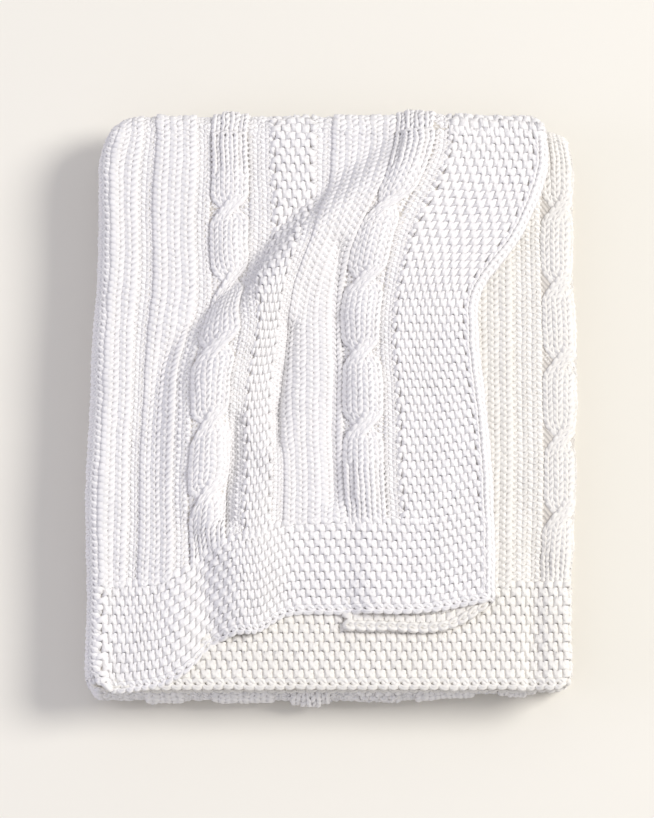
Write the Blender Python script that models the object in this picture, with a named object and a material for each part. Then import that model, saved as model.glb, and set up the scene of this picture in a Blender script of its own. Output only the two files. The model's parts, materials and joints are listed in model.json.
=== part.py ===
"""Folded cable-knit throw blanket, at rest, in metres, +Z up.

The throw is one knitted cloth. It is folded in thirds across its width like a letter: the
right leaf goes over the centre leaf, the left leaf goes over both, and the left leaf's free
margin is tucked back under itself. The strip that this makes is folded in thirds along its
length, so the stack is bottom third, middle third (upside down) and top third.

X runs to the right, Y away from the front fold, and the origin is at the middle of the
footprint, on the surface that the throw lies on. Heights are counted in levels: a level is
one ply of the cloth and the gap to the next. Where no margin lies under or over it, the
left leaf is loose and fills two levels.
"""

import math

import bmesh
import bpy

# Driving dimensions
FOLDED_WIDTH = 0.405
FOLDED_DEPTH = 0.500
PLY = 0.0049  # thickness of the cloth, as it lies pressed in the stack
PLY_GAP = 0.0003  # between two plies that lie on each other
BORDER_LENGTH = 0.085  # garter band at each end of the cloth
TUCK_WIDTH = 0.120  # free margin of the left leaf that is tucked under
LEAF_EDGE_INSET = 0.022  # from the right folds in to the left leaf's folded edge
INNER_EDGE_GAP = 0.001  # from the right leaf's free edge to the start of the left fold
RAMP_WIDTH = 0.012  # width over which the left leaf closes in from two levels to one
RAMP_CLEARANCE = 0.0015  # from the end of that ramp to the free edge of the tucked margin
HEM_INSET = 0.005  # from the outermost fold in to the hems of the plies over or under it
RIDGE_HEIGHT = 0.008  # of the soft ridge that runs across the top leaf
RIDGE_WIDTH = 0.034

# The top leaf's free edge, from front to back: share of the depth, inset from the right
TOP_EDGE = (
    (0.00, 0.068), (0.16, 0.068), (0.32, 0.070), (0.50, 0.077), (0.60, 0.082),
    (0.68, 0.080), (0.79, 0.044), (0.88, 0.026), (1.00, 0.022),
)
# Hems of the top leaf and of its tucked margin, left to right: share of the width, setback
TOP_HEM = (
    (0.00, 0.006), (0.16, 0.020), (0.25, 0.044), (0.33, 0.051), (0.42, 0.056),
    (0.53, 0.064), (0.70, 0.067), (0.80, 0.074), (1.00, 0.088),
)
MARGIN_HEM = (
    (0.00, 0.058), (0.40, 0.055), (0.60, 0.054), (0.76, 0.057), (0.83, 0.074), (1.00, 0.088),
)
# The ridge's line over the top leaf: share of the width, share of the depth, share of height
RIDGE_LINE = (
    (0.72, 0.95, 0.5), (0.60, 0.80, 1.0), (0.42, 0.68, 1.0), (0.30, 0.55, 0.9), (0.21, 0.42, 0.5),
)

LEVEL = PLY + PLY_GAP
X_LEFT, X_RIGHT = -FOLDED_WIDTH / 2, FOLDED_WIDTH / 2
Y_FRONT, Y_BACK = -FOLDED_DEPTH / 2, FOLDED_DEPTH / 2
FOLD_REACH = 4 * LEVEL  # how far the outermost ply of a cross fold reaches past the flats
FLAT_FRONT, FLAT_BACK = Y_FRONT + FOLD_REACH, Y_BACK - FOLD_REACH
FLAT_LEFT = X_LEFT + 2 * LEVEL  # four plies are held in the left folds
FLAT_RIGHT = X_RIGHT - LEVEL  # two plies are held in the right folds
EDGE_X = X_RIGHT - LEAF_EDGE_INSET  # left leaf's folded edge, in the lower thirds
TUCK_X = EDGE_X - LEVEL - TUCK_WIDTH  # free edge of the margin tucked under it
INNER_LEFT = FLAT_LEFT + INNER_EDGE_GAP  # right leaf's free edge, inside the left fold
HEM_FRONT, HEM_BACK = Y_FRONT + HEM_INSET, Y_BACK - HEM_INSET
RIDGE_BACK = 2 * FLAT_BACK - HEM_BACK  # laid open, the top leaf meets the back hems from here
EDGE_CLEARANCE = 0.0007  # between the top leaf's curved edge and its fold

ARC_STEPS = 8
LEAF_ROWS, BORDER_ROWS = 24, 4
LOOSE_COLUMNS, PRESSED_COLUMNS, MARGIN_COLUMNS = 14, 8, 6
SETTLE_STEPS = 8  # rounds that find where two curves of the plan meet

IVORY = (0.86, 0.85, 0.83, 1.0)
CREAM = (0.84, 0.82, 0.78, 1.0)

# Level of each third's plies. Each cross fold joins a third to the one that it is folded over
THIRDS = {
    "bottom": {"centre_leaf": 0, "right_leaf": 1, "tucked_margin": 2, "left_leaf": 3},
    "middle": {"left_leaf": 4, "tucked_margin": 5, "right_leaf": 6, "centre_leaf": 7},
    "top": {"centre_leaf": 8, "right_leaf": 9, "tucked_margin": 10, "left_leaf": 11},
}
SPAN_X = {
    "centre_leaf": (FLAT_LEFT, FLAT_RIGHT),
    "right_leaf": (INNER_LEFT, FLAT_RIGHT),
    "tucked_margin": (TUCK_X, EDGE_X - LEVEL),
    "left_leaf": (FLAT_LEFT, EDGE_X - LEVEL),
}
# The hinge lines lie between the thirds, where the flats end
FRONT_LINE = (0.0, FLAT_FRONT, LEVEL * 4 - PLY_GAP / 2)
BACK_LINE = (0.0, FLAT_BACK, LEVEL * 8 - PLY_GAP / 2)
HOME = {"bottom": (0.0, 0.0, 0.0), "middle": FRONT_LINE, "top": BACK_LINE}


def ease(t):
    """0 before t = 0, 1 after t = 1, smooth between."""
    t = min(max(t, 0.0), 1.0)
    return t * t * (3 - 2 * t)


def follow(points, t):
    """The value at t on a smooth curve through (t, value) points."""
    last = len(points) - 1
    t = min(max(t, points[0][0]), points[-1][0])
    i = next(i for i in range(last) if t <= points[i + 1][0])
    (a, low), (b, high) = points[i], points[i + 1]

    def slope(k):
        (t0, v0), (t1, v1) = points[max(k - 1, 0)], points[min(k + 1, last)]
        return (v1 - v0) / (t1 - t0)

    share, step = (t - a) / (b - a), b - a
    swing = share * (1 - share) * step
    line = low + (high - low) * ease(share)
    return line + swing * ((1 - share) * slope(i) - share * slope(i + 1))


def top_edge_x(y):
    """Folded edge of the top leaf, which is drawn back to the left by the ridge."""
    return X_RIGHT - follow(TOP_EDGE, (y - Y_FRONT) / FOLDED_DEPTH)


def top_flat_x(y):
    """Where the top leaf turns into the fold along its edge."""
    return top_edge_x(y) - LEVEL


def margin_edge_x(y):
    """Free edge of the margin tucked under the top leaf."""
    return top_flat_x(y) - TUCK_WIDTH


def top_hem_y(x):
    return Y_FRONT + follow(TOP_HEM, (x - X_LEFT) / FOLDED_WIDTH)


def margin_hem_y(x):
    return Y_FRONT + follow(MARGIN_HEM, (x - X_LEFT) / FOLDED_WIDTH)


def ridge(x, y):
    """Height of the soft ridge that lies across the top leaf. It fades towards the folds."""
    line = [
        (X_LEFT + u * FOLDED_WIDTH, Y_FRONT + v * FOLDED_DEPTH, h) for u, v, h in RIDGE_LINE
    ]
    best = 0.0
    for (ax, ay, ah), (bx, by, bh) in zip(line, line[1:]):
        dx, dy = bx - ax, by - ay
        t = ((x - ax) * dx + (y - ay) * dy) / (dx * dx + dy * dy)
        t = min(max(t, 0.0), 1.0)
        away = math.hypot(x - ax - t * dx, y - ay - t * dy)
        best = max(best, (ah + (bh - ah) * t) * math.exp(-((away / RIDGE_WIDTH) ** 2)))
    fade = ease((RIDGE_BACK - y) / RIDGE_WIDTH) * ease((x - FLAT_LEFT) / RIDGE_WIDTH)
    fade *= ease((top_flat_x(y) - x) / RIDGE_WIDTH)
    return RIDGE_HEIGHT * best * fade


def material(name, colour, roughness):
    found = bpy.data.materials.get(name)
    if found:
        return found
    made = bpy.data.materials.new(name)
    made.use_nodes = True
    shader = made.node_tree.nodes["Principled BSDF"]
    shader.inputs["Base Color"].default_value = colour
    shader.inputs["Roughness"].default_value = roughness
    shader.inputs["Metallic"].default_value = 0.0
    shader.inputs["Sheen Weight"].default_value = 0.4
    return made


def finish(name, shape, third):
    """Makes a bmesh a named object of this third, with its origin on the third's hinge line."""
    home = HOME[third]
    bmesh.ops.recalc_face_normals(shape, faces=shape.faces)
    bmesh.ops.translate(shape, verts=shape.verts, vec=[-c for c in home])
    mesh = bpy.data.meshes.new(name)
    shape.to_mesh(mesh)
    shape.free()
    if "border" in name:
        mesh.materials.append(material("garter_band", CREAM, 0.92))
    else:
        mesh.materials.append(material("cable_knit", IVORY, 0.9))
    obj = bpy.data.objects.new(name, mesh)
    throw.objects.link(obj)
    obj.parent = anchors[third]


def run_out(name, outline, y0, y1, third):
    """A leaf or a lengthwise fold: an outline in X and Z, run out along Y."""
    shape = bmesh.new()
    face = shape.faces.new([shape.verts.new((x, y0, z)) for x, z in outline])
    moved = bmesh.ops.extrude_face_region(shape, geom=[face])["geom"]
    ends = [v for v in moved if isinstance(v, bmesh.types.BMVert)]
    bmesh.ops.translate(shape, verts=ends, vec=(0, y1 - y0, 0))
    finish(name, shape, third)


def flat_ply(name, ply, y0, y1, third):
    """A ply that lies flat. The left leaf is two levels thick where no margin lies by it."""
    x0, x1 = SPAN_X[ply]
    level = THIRDS[third][ply]
    low, high = level * LEVEL, level * LEVEL + PLY
    outline = [(x0, low), (x1, low), (x1, high), (x0, high)]
    if ply == "left_leaf":
        side = THIRDS[third]["tucked_margin"] - level
        face = high if side > 0 else low
        loose = face + side * LEVEL
        step = [(TUCK_X - PLY_GAP, face), (TUCK_X - RAMP_WIDTH, loose), (x0, loose)]
        rest = [(x0, low if side > 0 else high), (x1, low if side > 0 else high)]
        outline = rest + [(x1, face)] + step
    run_out(name, outline, y0, y1, third)


def half_round(centre, outer, inner, side):
    """Points of a half ring that bulges to this side, in X or Y and Z."""
    turns = [math.pi * i / ARC_STEPS for i in range(ARC_STEPS + 1)]
    ring = [(centre[0] + side * outer * math.sin(t), centre[1] + outer * math.cos(t)) for t in turns]
    turns.reverse()
    ring += [(centre[0] + side * inner * math.sin(t), centre[1] + inner * math.cos(t)) for t in turns]
    return ring


def side_fold(name, x, low_level, plies, side, y0, y1, third):
    """A half-round lengthwise fold that starts where the flats end at x."""
    outer = plies / 2 * LEVEL - PLY_GAP / 2
    centre = (x + side * PLY_GAP, (low_level + plies / 2) * LEVEL - PLY_GAP / 2)
    run_out(name, half_round(centre, outer, outer - PLY, side), y0, y1, third)


def loft(name, rings, third):
    """A closed body through rings that have the same number of points."""
    shape = bmesh.new()
    rows = [[shape.verts.new(point) for point in ring] for ring in rings]
    count = len(rows[0])
    for near, far in zip(rows, rows[1:]):
        for i in range(count):
            j = (i + 1) % count
            shape.faces.new((near[i], near[j], far[j], far[i]))
    shape.faces.new(reversed(rows[0]))
    shape.faces.new(rows[-1])
    finish(name, shape, third)


def cross_fold(name, x0, x1, low_level, high_level, y, side, third):
    """One ply of a cross fold: it turns round the hinge line from one third to the next."""
    outer = (high_level + 1 - low_level) / 2 * LEVEL - PLY_GAP / 2
    centre = (y + side * PLY_GAP, (low_level + high_level + 1) / 2 * LEVEL - PLY_GAP / 2)
    ring = half_round(centre, outer - PLY_GAP, outer - PLY, side)
    loft(name, [[(x, y_, z) for y_, z in ring] for x in (x0, x1)], third)


def draped(name, columns, y_range, under, over, rows, third):
    """A ply whose plan and faces follow functions.

    columns(y) gives the X of each column, y_range(x) the front and back end, and under and
    over the height of the lower and the upper face at x, y.
    """
    shape = bmesh.new()
    count = len(columns(0.0))
    bmesh.ops.create_grid(shape, x_segments=count - 1, y_segments=rows, size=0.5)
    for vert in shape.verts:
        column = round((vert.co.x + 0.5) * (count - 1))
        share = vert.co.y + 0.5
        y = Y_FRONT + share * FOLDED_DEPTH
        for _ in range(SETTLE_STEPS):
            x = columns(y)[column]
            front, back = y_range(x)
            y = front + share * (back - front)
        vert.co = (x, y, under(x, y))
    moved = bmesh.ops.extrude_face_region(shape, geom=shape.faces[:])["geom"]
    for vert in moved:
        if isinstance(vert, bmesh.types.BMVert):
            vert.co.z = over(vert.co.x, vert.co.y)
    finish(name, shape, third)


def spread(start, end, count):
    return [start + (end - start) * i / count for i in range(count + 1)]


def top_leaf_columns(y):
    """Columns that meet both ends of the ramp onto the tucked margin."""
    ramp_end = margin_edge_x(y) - RAMP_CLEARANCE
    loose = spread(FLAT_LEFT, ramp_end - RAMP_WIDTH, LOOSE_COLUMNS)
    return loose + spread(ramp_end, top_flat_x(y), PRESSED_COLUMNS)


def top_leaf_under(x, y):
    ramp_end = margin_edge_x(y) - RAMP_CLEARANCE
    onto = min(max((x - ramp_end) / RAMP_WIDTH + 1, 0.0), 1.0)
    return (THIRDS["top"]["tucked_margin"] + onto) * LEVEL


def top_leaf_over(x, y):
    return THIRDS["top"]["left_leaf"] * LEVEL + PLY + ridge(x, y)


def margin_columns(y):
    return spread(margin_edge_x(y), top_flat_x(y), MARGIN_COLUMNS)


def margin_under(x, y):
    return THIRDS["top"]["tucked_margin"] * LEVEL


def margin_over(x, y):
    return margin_under(x, y) + PLY


for leftover in list(bpy.data.objects):
    bpy.data.objects.remove(leftover, do_unlink=True)

throw = bpy.data.collections.new("folded_throw")
bpy.context.scene.collection.children.link(throw)

# An empty on each third's hinge line carries that third, and the thirds that move with it
anchors = {}
carrier = None
for third, home in HOME.items():
    empty = bpy.data.objects.new(third + "_third", None)
    throw.objects.link(empty)
    empty.location = home
    if carrier:
        empty.parent = anchors[carrier]
        empty.location = [a - b for a, b in zip(home, HOME[carrier])]
    anchors[third] = empty
    carrier = third

# Straight leaves. The bottom third ends at the back in hems, with a garter band on each ply
for third in ("bottom", "middle"):
    for ply in THIRDS[third]:
        end = FLAT_BACK
        if third == "bottom":
            end = HEM_BACK - BORDER_LENGTH
            border = "bottom_" + ply.split("_leaf")[0].replace("tucked_", "") + "_border"
            flat_ply(border, ply, end + PLY_GAP, HEM_BACK, third)
        flat_ply(f"{third}_{ply}", ply, FLAT_FRONT, end, third)

# The top third's hems and bands lie at the front
for ply in ("centre_leaf", "right_leaf"):
    start = HEM_FRONT + BORDER_LENGTH
    flat_ply("top_" + ply, ply, start, FLAT_BACK, "top")
    flat_ply("top_" + ply.replace("leaf", "border"), ply, HEM_FRONT, start - PLY_GAP, "top")
draped(
    "top_left_leaf", top_leaf_columns, lambda x: (top_hem_y(x) + BORDER_LENGTH, FLAT_BACK),
    top_leaf_under, top_leaf_over, LEAF_ROWS, "top",
)
draped(
    "top_left_border", top_leaf_columns,
    lambda x: (top_hem_y(x), top_hem_y(x) + BORDER_LENGTH - PLY_GAP),
    top_leaf_under, top_leaf_over, BORDER_ROWS, "top",
)
draped(
    "top_tucked_margin", margin_columns, lambda x: (margin_hem_y(x) + BORDER_LENGTH, FLAT_BACK),
    margin_under, margin_over, LEAF_ROWS, "top",
)
draped(
    "top_margin_border", margin_columns,
    lambda x: (margin_hem_y(x), margin_hem_y(x) + BORDER_LENGTH - PLY_GAP),
    margin_under, margin_over, BORDER_ROWS, "top",
)

# Lengthwise folds: left leaf to centre leaf, centre leaf to right leaf, margin to left leaf
for third, levels in THIRDS.items():
    start = HEM_FRONT if third == "top" else FLAT_FRONT
    end = HEM_BACK if third == "bottom" else FLAT_BACK
    low = min(levels["centre_leaf"], levels["left_leaf"])
    side_fold(f"{third}_left_fold", FLAT_LEFT, low, 4, -1, start, end, third)
    low = min(levels["centre_leaf"], levels["right_leaf"])
    side_fold(f"{third}_right_fold", FLAT_RIGHT, low, 2, 1, start, end, third)
    if third != "top":
        low = min(levels["tucked_margin"], levels["left_leaf"])
        side_fold(f"{third}_tuck_fold", EDGE_X - LEVEL, low, 2, 1, start, end, third)

# The top third's tuck fold follows the drawn-in edge of the top leaf
tuck_z = THIRDS["top"]["left_leaf"] * LEVEL - PLY_GAP / 2
tuck_outer = LEVEL - PLY_GAP / 2
edge_hem = Y_FRONT
for _ in range(SETTLE_STEPS):
    edge_hem = top_hem_y(top_flat_x(edge_hem))
edge_rings = []
band_rows = spread(edge_hem, edge_hem + BORDER_LENGTH, BORDER_ROWS)
for y in band_rows[:-1] + spread(edge_hem + BORDER_LENGTH, FLAT_BACK, LEAF_ROWS):
    section = half_round((top_flat_x(y) + EDGE_CLEARANCE, tuck_z), tuck_outer, tuck_outer - PLY, 1)
    edge_rings.append([(x, y, z) for x, z in section])
loft("top_tuck_fold", edge_rings, "top")

# Cross folds. The outermost ply of each also closes the ends of the left folds
for fold, y, side, lower, upper in (
    ("front", FLAT_FRONT, -1, "bottom", "middle"),
    ("back", FLAT_BACK, 1, "middle", "top"),
):
    outermost = min(THIRDS[lower], key=THIRDS[lower].get)
    for ply, low in THIRDS[lower].items():
        x0, x1 = SPAN_X[ply]
        if ply == outermost:
            x0 = X_LEFT + LEVEL
        high = THIRDS[upper][ply]
        cross_fold(f"{fold}_fold_{ply}", x0, x1, low, high, y, side, lower)
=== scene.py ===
import json
import math

import bpy
import numpy as np
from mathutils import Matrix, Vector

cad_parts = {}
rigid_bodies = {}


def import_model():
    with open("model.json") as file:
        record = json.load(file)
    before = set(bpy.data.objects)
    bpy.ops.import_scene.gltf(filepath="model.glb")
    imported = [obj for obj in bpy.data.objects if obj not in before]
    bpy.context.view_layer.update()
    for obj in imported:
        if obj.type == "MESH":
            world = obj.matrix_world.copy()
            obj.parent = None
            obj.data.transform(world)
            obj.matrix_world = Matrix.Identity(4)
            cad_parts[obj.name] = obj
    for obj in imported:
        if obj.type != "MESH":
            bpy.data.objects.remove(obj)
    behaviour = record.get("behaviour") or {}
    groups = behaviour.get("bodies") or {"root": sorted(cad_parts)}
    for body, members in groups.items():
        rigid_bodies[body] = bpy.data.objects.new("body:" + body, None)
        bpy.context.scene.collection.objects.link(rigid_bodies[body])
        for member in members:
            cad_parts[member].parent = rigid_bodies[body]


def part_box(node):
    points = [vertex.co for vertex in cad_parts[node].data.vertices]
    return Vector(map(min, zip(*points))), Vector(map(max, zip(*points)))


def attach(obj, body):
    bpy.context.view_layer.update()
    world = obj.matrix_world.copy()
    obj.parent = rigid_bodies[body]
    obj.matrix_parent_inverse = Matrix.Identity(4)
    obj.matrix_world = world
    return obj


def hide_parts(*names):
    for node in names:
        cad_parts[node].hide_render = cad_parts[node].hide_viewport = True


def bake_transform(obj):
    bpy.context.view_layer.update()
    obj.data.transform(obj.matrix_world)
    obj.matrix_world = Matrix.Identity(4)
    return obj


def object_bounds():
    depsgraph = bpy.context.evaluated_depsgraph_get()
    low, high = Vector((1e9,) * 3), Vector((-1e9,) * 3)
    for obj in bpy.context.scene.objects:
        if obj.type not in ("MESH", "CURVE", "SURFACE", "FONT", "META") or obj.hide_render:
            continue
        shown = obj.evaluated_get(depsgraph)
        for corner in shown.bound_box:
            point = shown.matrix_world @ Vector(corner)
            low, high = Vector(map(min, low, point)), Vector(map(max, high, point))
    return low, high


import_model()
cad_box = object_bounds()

# ----------------------------------------------------------
# Camera, floor and light.
# The throw lies on a pale studio table under a broad soft light from the upper right, with a
# weak cool fill from the left. The camera looks steeply down on it from the front.
# ----------------------------------------------------------
CAMERA_ELEVATION = math.radians(74)
CAMERA_DISTANCE = 4.5
VIEW_HEIGHT = 0.679  # metres that the camera sees from bottom to top
LOOK_AT = (-0.0050, -0.0118, 0.060)


def in_scene(name, data):
    """A new object of this data, in the scene."""
    made = bpy.data.objects.new(name, data)
    bpy.context.scene.collection.objects.link(made)
    return made


camera = in_scene("camera", bpy.data.cameras.new("camera"))
camera.location = (
    LOOK_AT[0],
    LOOK_AT[1] - CAMERA_DISTANCE * math.cos(CAMERA_ELEVATION),
    LOOK_AT[2] + CAMERA_DISTANCE * math.sin(CAMERA_ELEVATION),
)
camera.rotation_euler = (math.pi / 2 - CAMERA_ELEVATION, 0, 0)
camera.data.lens = camera.data.sensor_width * CAMERA_DISTANCE / VIEW_HEIGHT
camera.data.clip_end = 50
bpy.context.scene.camera = camera
bpy.context.scene.view_settings.view_transform = "Standard"

FLOOR_COLOUR = (0.80, 0.77, 0.70, 1)


def new_material(name):
    """A material, its nodes, its links and its shader."""
    made = bpy.data.materials.new(name)
    made.use_nodes = True
    return made, made.node_tree.nodes, made.node_tree.links, made.node_tree.nodes["Principled BSDF"]


bpy.ops.mesh.primitive_plane_add(size=16)
floor = bpy.context.object
floor.name = "floor"
floor_paint, nodes, links, shader = new_material("floor_paint")
shader.inputs["Base Color"].default_value = FLOOR_COLOUR
shader.inputs["Roughness"].default_value = 0.85
floor.data.materials.append(floor_paint)


def area_light(name, place, aim, size, watts, colour):
    light = in_scene(name, bpy.data.lights.new(name, "AREA"))
    light.data.shape = "DISK"
    light.data.size = size
    light.data.energy = watts
    light.data.color = colour
    light.location = place
    bpy.context.view_layer.update()
    away = light.matrix_world.translation - type(light.location)(aim)
    light.rotation_euler = away.to_track_quat("Z", "Y").to_euler()


area_light("key_light", (3.9, 0.7, 3.8), (0, 0, 0), 2.4, 241, (1.0, 0.985, 0.955))
area_light("left_fill", (-2.2, -0.2, 1.0), (0, 0, 0), 1.6, 11, (0.74, 0.74, 1.0))
world = bpy.data.worlds.new("studio")
world.use_nodes = True
world.node_tree.nodes["Background"].inputs["Color"].default_value = (0.95, 0.95, 1.0, 1)
world.node_tree.nodes["Background"].inputs["Strength"].default_value = 0.607
bpy.context.scene.world = world

# ----------------------------------------------------------
# The shape of the folded cloth.
# One knitted cloth is folded in thirds across its width: right leaf over centre leaf, left leaf
# over both, its margin tucked under. The strip is folded in thirds again along its length.
# ----------------------------------------------------------
centre_box, right_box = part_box("bottom_centre_leaf"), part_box("bottom_right_leaf")
PLY = centre_box[1].z - centre_box[0].z
LEVEL = right_box[0].z - centre_box[0].z
FLAT_LEFT, FLAT_RIGHT = centre_box[0].x, centre_box[1].x
INNER_LEFT = right_box[0].x
EDGE_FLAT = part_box("bottom_left_leaf")[1].x
FLAT_FRONT, FLAT_BACK = centre_box[0].y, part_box("middle_centre_leaf")[1].y
HEM_FRONT, HEM_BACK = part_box("top_centre_border")[0].y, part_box("bottom_centre_border")[1].y
TUCK_WIDTH = EDGE_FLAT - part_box("bottom_tucked_margin")[0].x
X_LEFT, X_RIGHT = cad_box[0].x, cad_box[1].x
Y_FRONT, Y_BACK = cad_box[0].y, cad_box[1].y
WIDTH, DEPTH = X_RIGHT - X_LEFT, Y_BACK - Y_FRONT
LEVELS = {  # of each ply, counted from the table
    "bottom": {"centre": 0, "right": 1, "margin": 2, "left": 3},
    "middle": {"centre": 7, "right": 6, "margin": 5, "left": 4},
    "top": {"centre": 8, "right": 9, "margin": 10, "left": 11},
}
# Y and Z of the two hinge lines
HINGE_FRONT = (FLAT_FRONT, LEVEL * 4 - (LEVEL - PLY) / 2)
HINGE_BACK = (FLAT_BACK, LEVEL * 8 - (LEVEL - PLY) / 2)

# The cloth's own width, from the right leaf's free edge round the folds to the margin's free edge
NARROW_FOLD = math.pi * LEVEL / 2
WIDE_FOLD = math.pi * LEVEL * 1.5
RIGHT_LEAF, CENTRE_LEAF = FLAT_RIGHT - INNER_LEFT, FLAT_RIGHT - FLAT_LEFT
LEFT_LEAF = EDGE_FLAT - FLAT_LEFT
RIGHT_END = RIGHT_LEAF
CENTRE_START = RIGHT_END + NARROW_FOLD
CENTRE_END = CENTRE_START + CENTRE_LEAF
LEFT_START = CENTRE_END + WIDE_FOLD
LEFT_END = LEFT_START + LEFT_LEAF
MARGIN_START = LEFT_END + NARROW_FOLD
CLOTH_WIDTH = MARGIN_START + TUCK_WIDTH
THIRD_LENGTH = FLAT_BACK - HEM_FRONT
MIDDLE_LENGTH = FLAT_BACK - FLAT_FRONT

# Share of the depth or width, and inset or setback, as the top leaf lies
TOP_EDGE = (
    (0.00, 0.068), (0.16, 0.068), (0.32, 0.070), (0.50, 0.077), (0.60, 0.082),
    (0.68, 0.080), (0.79, 0.044), (0.88, 0.026), (1.00, 0.022),
)
TOP_HEM = (
    (0.00, 0.002), (0.115, 0.005), (0.17, 0.009), (0.21, 0.018), (0.255, 0.039), (0.30, 0.047),
    (0.375, 0.050), (0.43, 0.062), (0.53, 0.067), (0.70, 0.068), (0.80, 0.074), (1.00, 0.088),
)
MARGIN_HEM = (
    (0.00, 0.058), (0.40, 0.055), (0.60, 0.054), (0.76, 0.057), (0.83, 0.074), (1.00, 0.088),
)


def ease(t):
    t = np.clip(t, 0, 1)
    return t * t * (3 - 2 * t)


def follow(points, t):
    """The values at t on a smooth curve through (t, value) points."""
    knots, values = np.array(points, float).T
    t = np.clip(t, knots[0], knots[-1])
    slopes = np.gradient(values, knots)
    i = np.clip(np.searchsorted(knots, t, side="right") - 1, 0, len(knots) - 2)
    step = knots[i + 1] - knots[i]
    q = (t - knots[i]) / step
    ends = values[i] * (1 - ease(q)) + values[i + 1] * ease(q)
    return ends + step * q * (1 - q) * ((1 - q) * slopes[i] - q * slopes[i + 1])


def section(s, third):
    """X and Z of the cloth's middle at the place s across it, before it is draped."""
    height = {ply: level * LEVEL + PLY / 2 for ply, level in LEVELS[third].items()}
    parts = (
        (RIGHT_END, lambda q: (INNER_LEFT + q, height["right"] + 0 * q)),
        (CENTRE_START, lambda q: turn(q / NARROW_FOLD, FLAT_RIGHT, 1, "right", "centre")),
        (CENTRE_END, lambda q: (FLAT_RIGHT - q, height["centre"] + 0 * q)),
        (LEFT_START, lambda q: turn(q / WIDE_FOLD, FLAT_LEFT, -1, "centre", "left")),
        (LEFT_END, lambda q: (FLAT_LEFT + q, height["left"] + 0 * q)),
        (MARGIN_START, lambda q: turn(q / NARROW_FOLD, EDGE_FLAT, 1, "left", "margin")),
        (10.0, lambda q: (EDGE_FLAT - q, height["margin"] + 0 * q)),
    )

    def turn(share, x, side, first, last):
        radius = (height[first] - height[last]) / 2
        middle = (height[first] + height[last]) / 2
        return x + side * abs(radius) * np.sin(math.pi * share), middle + radius * np.cos(math.pi * share)

    x, z, start = np.zeros_like(s), np.zeros_like(s), 0.0
    for end, shape in parts:
        inside = (s >= start) & (s < end) if start else s < end
        x[inside], z[inside] = shape(s[inside] - start)
        start = end
    return x, z


CORNERS = (  # side in X, side in Y, radius
    (-1, 1, 0.052), (-1, -1, 0.022), (1, 1, 0.044), (1, -1, 0.024),
)
FRONT_TIGHTENS = 0.55  # share by which the front fold is tighter on the right
SIDE_WAVE = 0.0016
# The left side leans in at the back and the right in front, out to the reach from each side
BACK_INSET, FRONT_INSET, INSET_REACH = 0.007, 0.007, 0.12


def settle(points):
    """Rounds the stack's corners in plan, and lets its sides lean and waver as they lie."""
    x, y, z = points[..., 0].copy(), points[..., 1].copy(), points[..., 2]
    share = (y - Y_FRONT) / DEPTH
    near_side = np.clip(np.abs(x) / X_RIGHT * 3 - 2, 0, 1)
    x += SIDE_WAVE * near_side * np.sin(31 * y + 60 * z + 1) * np.sin(13 * y - 90 * z + 40 * x)
    x += BACK_INSET * ease((share - 0.35) / 0.5) * np.clip(1 - (x - X_LEFT) / INSET_REACH, 0, 1)
    x -= FRONT_INSET * ease((0.5 - share) / 0.5) * np.clip(1 - (X_RIGHT - x) / INSET_REACH, 0, 1)
    for side_x, side_y, radius in CORNERS:
        corner_x = (X_RIGHT if side_x > 0 else X_LEFT) - side_x * radius
        corner_y = (Y_BACK if side_y > 0 else Y_FRONT) - side_y * radius
        a = np.clip((x - corner_x) * side_x / radius, 0, 1.25)
        b = np.clip((y - corner_y) * side_y / radius, 0, 1.25)
        x -= side_x * radius * a * (1 - np.sqrt(1 - b * b / 2))
        y -= side_y * radius * b * (1 - np.sqrt(1 - a * a / 2))
    return np.stack([x, y, points[..., 2]], axis=-1)


def sheet_mesh(name, across, along, place):
    """An open grid of the cloth. It keeps each point's flat place as UV and its facing."""
    s, t = np.meshgrid(across, along, indexing="ij")
    points = settle(place(s, t))
    facing = np.cross(np.gradient(points, axis=0), np.gradient(points, axis=1))
    facing /= np.linalg.norm(facing, axis=2, keepdims=True)
    index = np.arange(s.size).reshape(s.shape)
    faces = np.stack([index[:-1, :-1], index[1:, :-1], index[1:, 1:], index[:-1, 1:]], axis=-1)
    mesh = bpy.data.meshes.new(name)
    mesh.from_pydata(points.reshape(-1, 3).tolist(), [], faces.reshape(-1, 4).tolist())
    corner = np.empty(len(mesh.loops), np.int32)
    mesh.loops.foreach_get("vertex_index", corner)
    flat = np.stack([s.ravel(), t.ravel()], axis=1)[corner]
    mesh.uv_layers.new(name="flat").data.foreach_set("uv", flat.ravel())
    mesh.attributes.new("facing", "FLOAT_VECTOR", "POINT").data.foreach_set("vector", facing.ravel())
    mesh.shade_smooth()
    return in_scene(name, mesh)


def steps(start, end, size):
    """Evenly spaced places from start to end, about the size apart."""
    return np.linspace(start, end, max(2, round((end - start) / size) + 1))


def lines_across(leaf_step, fold_step, top_step):
    """Places of the grid's lines across the cloth, closer together in its folds."""
    runs = (
        (0, RIGHT_END, leaf_step), (RIGHT_END, CENTRE_START, fold_step),
        (CENTRE_START, CENTRE_END, leaf_step), (CENTRE_END, LEFT_START, fold_step),
        (LEFT_START, LEFT_END, top_step), (LEFT_END, MARGIN_START, fold_step),
        (MARGIN_START, CLOTH_WIDTH, leaf_step),
    )
    return np.unique(np.concatenate([steps(a, b, size) for a, b, size in runs]).round(6))


def with_overrun(lines, overrun=0.014):
    """The same lines with one more at each end, so that a stitch at the edge has a place."""
    return np.concatenate([[lines[0] - overrun], lines, [lines[-1] + overrun]])


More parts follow.
